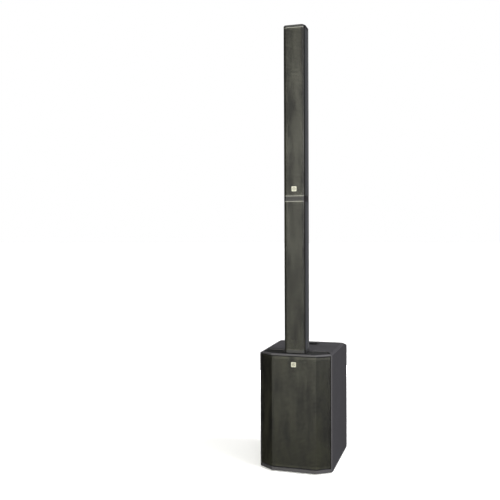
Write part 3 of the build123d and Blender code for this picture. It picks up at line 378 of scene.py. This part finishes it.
def folded_grille(name, cad_node, body, flat_half, side_margin, end_margin, bend_radius, gap=0.0):
    """Perforated sheet folded to the CAD node's swept front, with its short return down each side."""
    low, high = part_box(cad_node)
    half = high.x - gap
    facet = (half - flat_half) / math.cos(FACET_ANGLE)
    facet_depth = (half - flat_half) * math.tan(FACET_ANGLE)
    side_return = (high.y - low.y) - facet_depth
    width, height = 2 * (flat_half + facet + side_return), high.z - low.z - 2 * gap
    bm = punched_sheet(width, height, side_return + side_margin, end_margin)
    creases = (-1, 0, 1)
    step = bend_radius * FACET_ANGLE / len(creases)
    lines = [(flat_half + i * step, FACET_ANGLE / len(creases)) for i in creases]
    lines.append((flat_half + facet, math.radians(90) - FACET_ANGLE))
    for at, _ in lines:
        for sign in (-1, 1):
            everything = bm.verts[:] + bm.edges[:] + bm.faces[:]
            bmesh.ops.bisect_plane(bm, geom=everything, plane_co=(sign * at, 0, 0), plane_no=(1, 0, 0))
    flat_place = {v: v.co.x for v in bm.verts}
    bmesh.ops.rotate(bm, verts=bm.verts[:], cent=(0, 0, 0), matrix=UPRIGHT)
    for at, angle in reversed(lines):
        for sign in (-1, 1):
            beyond = [v for v, x in flat_place.items() if sign * x > at + TINY]
            bmesh.ops.rotate(bm, verts=beyond, cent=(sign * at, 0, 0),
                             matrix=Matrix.Rotation(sign * angle, 3, "Z"))
    bmesh.ops.translate(bm, verts=bm.verts[:], vec=(0, low.y, (low.z + high.z) / 2))
    made = piece(name, bm, "grille", body, [cad_node])
    thicken(made, SHEET, -1)


folded_grille("sub_perforated_sheet", "sub_grille", "subwoofer", SUB_FLAT_HALF, *SUB_MARGINS, SUB_BEND,
              SUB_GAP)
folded_grille("lower_perforated_sheet", "lower_grille", "lower_column", COLUMN_FLAT_HALF, *COLUMN_MARGINS,
              COLUMN_BEND)
folded_grille("upper_perforated_sheet", "upper_grille", "upper_column", COLUMN_FLAT_HALF, *COLUMN_MARGINS,
              COLUMN_BEND)


# ---------------------------------------------------------------- columns
def rear_shade_band(name, housing, body):
    """Darker band that wraps the back of a column round both rear corners: painted shade where the sides turn
    away from the light.
    """
    low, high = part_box(housing)
    bm = bmesh.new()
    cuboid(bm, (-high.x, high.y - REAR_SHADE_REACH, low.z), (high.x, high.y, high.z))
    corners = [e for e in bm.edges if abs(e.verts[0].co.z - e.verts[1].co.z) > TINY
               and e.verts[0].co.y > high.y - TINY]
    bmesh.ops.bevel(bm, geom=corners, offset=REAR_RADIUS, affect="EDGES", segments=8, profile=0.5,
                    material=-1)
    bm.normal_update()
    open_sides = [f for f in bm.faces if abs(f.normal.z) > 0.5 or f.normal.y < -0.5]
    bmesh.ops.delete(bm, geom=open_sides, context="FACES")
    thicken(piece(name, bm, "rear_painted_shade", body), FILM, 1)


def cap_line(name, housing, cap, body, at_top):
    """Bright line round the front of an end cap, along its edge with the grille: a painted highlight where
    that edge catches the light.
    """
    low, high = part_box(housing)
    middle = high.z + LINE_HEIGHT * 0.8 if at_top else low.z - LINE_HEIGHT * 0.8
    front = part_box(cap)[0].y
    swept = (COLUMN_GRILLE_HALF - COLUMN_FLAT_HALF) * math.tan(FACET_ANGLE)
    bm = bmesh.new()
    bmesh.ops.create_grid(bm, x_segments=1, y_segments=1, size=0.5,
                          matrix=Matrix.Diagonal((2 * COLUMN_GRILLE_HALF, LINE_HEIGHT, 1, 1)))
    for x in (-COLUMN_FLAT_HALF, COLUMN_FLAT_HALF):
        everything = bm.verts[:] + bm.edges[:] + bm.faces[:]
        bmesh.ops.bisect_plane(bm, geom=everything, plane_co=(x, 0, 0), plane_no=(1, 0, 0))
    ends = [v for v in bm.verts if abs(v.co.x) > COLUMN_FLAT_HALF + TINY]
    bmesh.ops.translate(bm, verts=ends, vec=(0, 0, -swept))
    bmesh.ops.rotate(bm, verts=bm.verts[:], cent=(0, 0, 0), matrix=UPRIGHT)
    bmesh.ops.translate(bm, verts=bm.verts[:], vec=(0, front - INK, middle))
    thicken(piece(name, bm, "cap_edge_highlight", body), FILM, -1)


# These lines are painted highlights along the caps' edges.
cap_line("lower_top_line", "lower_housing", "lower_top_cap", "lower_column", True)
cap_line("upper_bottom_line", "upper_housing", "upper_bottom_cap", "upper_column", False)
cap_line("upper_top_line", "upper_housing", "upper_top_cap", "upper_column", True)
# The rear bands are painted shade on the columns' backs.
rear_shade_band("lower_rear_shade_band", "lower_housing", "lower_column")
rear_shade_band("upper_rear_shade_band", "upper_housing", "upper_column")


# ---------------------------------------------------------------- badges
BADGE_RIM = 0.4 * MM                     # how far the dark frame stands back, and its softened edge
BADGE_CORNER = 3 * MM                    # rounding of the frame's corners
INLAY_BORDER = 2 * MM                    # dark border round the cream inlay
INLAY_CORNER = 2 * MM
INLAY_DEPTH = 0.25 * MM
MARK_RING = 5.5 * MM, 7.5 * MM           # inner and outer radius
MARK_DOT = 0.2 * MM, 2.4 * MM


def badge(name, cad_node, body):
    """Dark frame with a cream inlay that carries a plain ring and dot."""
    low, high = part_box(cad_node)
    middle, back, depth = (low + high) / 2, high.y, high.y - low.y
    size = high.x - low.x
    bm = bmesh.new()
    round_plate(bm, (middle.x, back, middle.z), size, size, depth - BADGE_RIM, BADGE_CORNER, BADGE_RIM)
    piece(name + "_frame", bm, "dark_enamel", body, [cad_node])
    face_y = low.y + BADGE_RIM
    bm = bmesh.new()
    inlay = size - 2 * INLAY_BORDER
    round_plate(bm, (middle.x, face_y, middle.z), inlay, inlay, INLAY_DEPTH, INLAY_CORNER, 0)
    piece(name + "_inlay", bm, "cream", body, ())
    bm = bmesh.new()
    mark_centre = (middle.x, face_y - INLAY_DEPTH, middle.z)
    flat_ring(bm, mark_centre, *MARK_RING)
    flat_ring(bm, mark_centre, *MARK_DOT, segments=24)
    piece(name + "_mark", bm, "dark_enamel", body, ())


badge("sub_plate", "sub_badge", "subwoofer")
badge("column_plate", "upper_badge", "upper_column")


# ---------------------------------------------------------------- print and contacts on the back panel
FACE_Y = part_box("status_lens")[0].y
KNOBS = ["channel_1_knob", "channel_2_knob", "channel_3_knob", "sub_level_knob", "main_knob"]
KNOB_SWEEP = math.radians(145)           # from the middle to either end of a knob's turn
TICKS = 11                               # marks round each knob
TICK_INNER = 9 * MM
TICK_SHORT, TICK_LONG = 10.8 * MM, 12 * MM
TICK_WIDTH = 0.5 * MM
CAPTION_UP = 16 * MM                     # from a knob's centre to the bar that stands for its caption
CAPTION_BAR = 14 * MM, 1.6 * MM          # width and height
FRAME_UP = 21 * MM                       # and to the top of the frame round its channel
FRAME_DOWN = 6 * MM                      # from the jacks' lower edge to the frame's foot
FRAME_HALF = 19 * MM
FRAME_LINE = 0.4 * MM
JACK_BAR, JACK_BAR_DOWN = (10 * MM, 1.4 * MM), 3 * MM
BUTTON_BAR, BUTTON_BAR_DOWN = (10 * MM, 1.3 * MM), 8 * MM
LENS_BAR, LENS_BAR_DOWN = (26 * MM, 1.3 * MM), 9 * MM
INLET_BAR, SWITCH_BAR, MAINS_BAR_DOWN = (30 * MM, 1.4 * MM), (14 * MM, 1.4 * MM), 5 * MM
NOTES = 4                                # short lines beside the mains inlet, each shorter than the last
NOTES_X = -70 * MM
NOTES_DOWN, NOTES_STEP = 6 * MM, 5 * MM
NOTE_LENGTH, NOTE_SHORTER, NOTE_HEIGHT = 46 * MM, 6 * MM, 1.2 * MM
POINTER_HALF = 0.45 * MM                 # half width of the white line inlaid in each knob
POINTER_DEPTH = 0.9 * MM, 0.5 * MM       # how far its two faces are below the knob's end
POINTER_SPAN = 1.5 * MM, 4.9 * MM        # where it starts and ends, from the knob's centre
JACK_RIM = 9.9 * MM, 10.6 * MM           # inner and outer radius of the plated rim of a jack
JACK_RIM_DEPTH = 0.3 * MM
LATCH_HALF = 3 * MM                      # half width of a jack's release latch
LATCH_SPAN = 11.2 * MM, 14.6 * MM        # its lower and upper edge, from the jack's centre
LATCH_DEPTH, LATCH_ROUNDING = 1.2 * MM, 0.3 * MM


def centre_of(name):
    """Middle of a CAD node's box."""
    low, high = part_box(name)
    return (low + high) / 2


def printed_bar(bm, x, z, width, height):
    """Plain printed bar on the panel, in place of lettering."""
    cuboid(bm, (x - width / 2, FACE_Y - INK / 2, z - height / 2),
           (x + width / 2, FACE_Y + INK, z + height / 2))


def printed_tick(bm, middle, angle, inner, outer, width):
    """Radial line beside a knob; angle 0 points up."""
    verts = cuboid(bm, (-width / 2, -INK / 2, inner), (width / 2, INK, outer))
    bmesh.ops.rotate(bm, verts=verts, cent=(0, 0, 0), matrix=Matrix.Rotation(angle, 3, "Y"))
    bmesh.ops.translate(bm, verts=verts, vec=(middle.x, FACE_Y, middle.z))


def printed_frame(bm, x0, x1, z0, z1, line):
    """Thin printed rectangle round a channel's controls and socket."""
    printed_bar(bm, (x0 + x1) / 2, z0, x1 - x0 + line, line)
    printed_bar(bm, (x0 + x1) / 2, z1, x1 - x0 + line, line)
    printed_bar(bm, x0, (z0 + z1) / 2, line, z1 - z0)
    printed_bar(bm, x1, (z0 + z1) / 2, line, z1 - z0)


print_bm = bmesh.new()
jack_low, jack_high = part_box("combo_jacks")
lens = centre_of("status_lens")
for knob in KNOBS:
    middle = centre_of(knob)
    for i in range(TICKS):
        turn = 2 * i / (TICKS - 1) - 1
        outer = TICK_LONG if turn in (-1, 0, 1) else TICK_SHORT
        printed_tick(print_bm, middle, KNOB_SWEEP * turn, TICK_INNER, outer, TICK_WIDTH)
    printed_bar(print_bm, middle.x, middle.z + CAPTION_UP, *CAPTION_BAR)
    printed_frame(print_bm, middle.x - FRAME_HALF, middle.x + FRAME_HALF, jack_low.z - FRAME_DOWN,
                  middle.z + FRAME_UP, FRAME_LINE)
for knob in KNOBS[:3]:
    printed_bar(print_bm, centre_of(knob).x, jack_low.z - JACK_BAR_DOWN, *JACK_BAR)
button = centre_of("mode_button")
printed_bar(print_bm, button.x, button.z - BUTTON_BAR_DOWN, *BUTTON_BAR)
printed_bar(print_bm, lens.x, lens.z - LENS_BAR_DOWN, *LENS_BAR)
inlet_low, inlet_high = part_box("mains_inlet")
frame_low, frame_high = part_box("switch_frame")
printed_bar(print_bm, (inlet_low.x + inlet_high.x) / 2, inlet_low.z - MAINS_BAR_DOWN, *INLET_BAR)
printed_bar(print_bm, (frame_low.x + frame_high.x) / 2, inlet_low.z - MAINS_BAR_DOWN, *SWITCH_BAR)
for i in range(NOTES):
    printed_bar(print_bm, NOTES_X, inlet_high.z - NOTES_DOWN - i * NOTES_STEP, NOTE_LENGTH - i * NOTE_SHORTER,
                NOTE_HEIGHT)
piece("panel_print", print_bm, "ink", "subwoofer", ())

for knob in KNOBS:
    low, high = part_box(knob)
    middle = (low + high) / 2
    bm = bmesh.new()
    cuboid(bm, (middle.x - POINTER_HALF, high.y - POINTER_DEPTH[0], middle.z + POINTER_SPAN[0]),
           (middle.x + POINTER_HALF, high.y - POINTER_DEPTH[1], middle.z + POINTER_SPAN[1]))
    piece(knob + "_pointer", bm, "ink", knob, ())

rim_bm = bmesh.new()
latch_bm = bmesh.new()
for knob in KNOBS[:3]:
    x = centre_of(knob).x
    y, z = jack_high.y, (jack_low.z + jack_high.z) / 2
    flat_ring(rim_bm, (x, y, z), *JACK_RIM, normal_sign=1, thickness=JACK_RIM_DEPTH)
    cuboid(latch_bm, (x - LATCH_HALF, y, z + LATCH_SPAN[0]),
           (x + LATCH_HALF, y + LATCH_DEPTH, z + LATCH_SPAN[1]))
bmesh.ops.bevel(latch_bm, geom=latch_bm.edges[:], offset=LATCH_ROUNDING, affect="EDGES", segments=2,
                profile=0.5, material=-1)
piece("jack_rims", rim_bm, "nickel", "subwoofer", ())
piece("jack_latches", latch_bm, "nickel", "subwoofer", ())


# ---------------------------------------------------------------- floor, lights and camera
FLOOR_GLOW = 0.25                        # makes the floor's far edge run into the white behind it
FLOOR_HALF = 60                          # metres
AMBIENT = 0.04                           # weak fill from all round
WHITE = (1, 1, 1)
WARM = (1, 0.99, 0.87)                   # slightly yellow lamps in front
SUN_DISTANCE = 8                         # metres; only says where the lamp stands

# Matt paper: an even, nearly white surface with no highlight.
floor_material = finish("paper backdrop, matt", "f2f2f2", "f6f6f6", 4 * MM, 0.01 * MM, 0.9, spread=0.02)
floor_shader = next(node for node in floor_material.node_tree.nodes if node.type == "BSDF_PRINCIPLED")
floor_shader.inputs["Emission Color"].default_value = linear("ffffff")
floor_shader.inputs["Emission Strength"].default_value = FLOOR_GLOW
floor_bm = bmesh.new()
bmesh.ops.create_grid(floor_bm, x_segments=1, y_segments=1, size=FLOOR_HALF)
floor_mesh = bpy.data.meshes.new("floor")
floor_bm.to_mesh(floor_mesh)
floor_bm.free()
floor_mesh.materials.append(floor_material)
floor = bpy.data.objects.new("floor", floor_mesh)
bpy.context.scene.collection.objects.link(floor)
# The floor takes the object's shadow, but throws no light back up at it.
floor.visible_diffuse = False
floor.visible_glossy = False

scene = bpy.context.scene
scene.view_settings.view_transform = "Standard"
world = bpy.data.worlds.new("studio")
world.use_nodes = True
scene.world = world
background = world.node_tree.nodes["Background"]
background.inputs["Color"].default_value = (*WHITE, 1)
background.inputs["Strength"].default_value = AMBIENT
# The backdrop looks white, and gives only a weak fill.
lit = add(world.node_tree, "ShaderNodeBackground", {"Color": (*WHITE, 1), "Strength": 1.0})
ray = add(world.node_tree, "ShaderNodeLightPath")
mixed = add(world.node_tree, "ShaderNodeMixShader", links={
    "Fac": ray.outputs["Is Camera Ray"], 1: background.outputs["Background"], 2: lit.outputs["Background"]})
world.node_tree.links.new(mixed.outputs["Shader"], world.node_tree.nodes["World Output"].inputs["Surface"])


def sun(name, azimuth, elevation, strength, softness):
    """Soft light from far away; azimuth 0 is in front and 90 on the right, all in degrees."""
    data = bpy.data.lights.new(name, "SUN")
    data.energy = strength
    data.angle = math.radians(softness)
    lamp = bpy.data.objects.new(name, data)
    a, e = math.radians(azimuth), math.radians(elevation)
    towards = Vector((math.sin(a) * math.cos(e), -math.cos(a) * math.cos(e), math.sin(e)))
    lamp.rotation_euler = towards.to_track_quat("Z", "Y").to_euler()
    lamp.location = towards * SUN_DISTANCE
    scene.collection.objects.link(lamp)


def softbox(name, azimuth, middle_z, width, height, distance, radiance, colour=WHITE):
    """Upright rectangle of even light that faces the object; azimuth as for sun."""
    data = bpy.data.lights.new(name, "AREA")
    data.shape = "RECTANGLE"
    data.size, data.size_y = width, height
    data.energy = radiance * math.pi * width * height
    lamp = bpy.data.objects.new(name, data)
    a = math.radians(azimuth)
    lamp.matrix_world = (Matrix.Rotation(a, 4, "Z") @ Matrix.Translation((0, -distance, middle_z))
                         @ Matrix.Rotation(math.radians(90), 4, "X"))
    lamp.visible_camera = False
    data.color = colour
    scene.collection.objects.link(lamp)


sun("key", azimuth=80, elevation=40, strength=2.9, softness=30)
sun("overhead", azimuth=0, elevation=85, strength=1.3, softness=60)
# The front softbox gives the grilles their wide sheen, and the low card lights them near the floor.
softbox("front softbox", azimuth=0, middle_z=1.8, width=1.7, height=3.2, distance=4.5, radiance=12.0,
        colour=WARM)
softbox("low card", azimuth=0, middle_z=0.13, width=1.4, height=0.22, distance=1.3, radiance=2.4, colour=WARM)
softbox("right softbox", azimuth=56, middle_z=1.6, width=1.8, height=3.1, distance=4.5, radiance=5.0)
softbox("edge strip", azimuth=22, middle_z=1.6, width=0.25, height=3.1, distance=4.5, radiance=12.0)
# This one is kept lower than the cabinet's top, so that it lights the back and not the top.
softbox("back card", azimuth=212, middle_z=0.23, width=2.4, height=0.42, distance=2.2, radiance=9.0)

EYE = Vector((0.7645, -3.406, 1.1452))   # where the camera stands
YAW, PITCH, ROLL = 0.2984, 0.0267, -0.005   # radians: turned to the left, tipped down, leaning
FOCAL_LENGTH, SENSOR_WIDTH = 50, 36      # millimetres
ahead = Vector((-math.sin(YAW), math.cos(YAW), 0))
right = Vector((math.cos(YAW), math.sin(YAW), 0))
up = Vector((0, 0, 1))
looking = ahead * math.cos(PITCH) - up * math.sin(PITCH)
raised = up * math.cos(PITCH) + ahead * math.sin(PITCH)
camera_x = right * math.cos(ROLL) + raised * math.sin(ROLL)
camera_y = raised * math.cos(ROLL) - right * math.sin(ROLL)
camera_data = bpy.data.cameras.new("camera")
camera_data.lens = FOCAL_LENGTH
camera_data.sensor_width = SENSOR_WIDTH
camera = bpy.data.objects.new("camera", camera_data)
camera.matrix_world = Matrix.Translation(EYE) @ Matrix((camera_x, camera_y, -looking)).transposed().to_4x4()
scene.collection.objects.link(camera)
scene.camera = camera
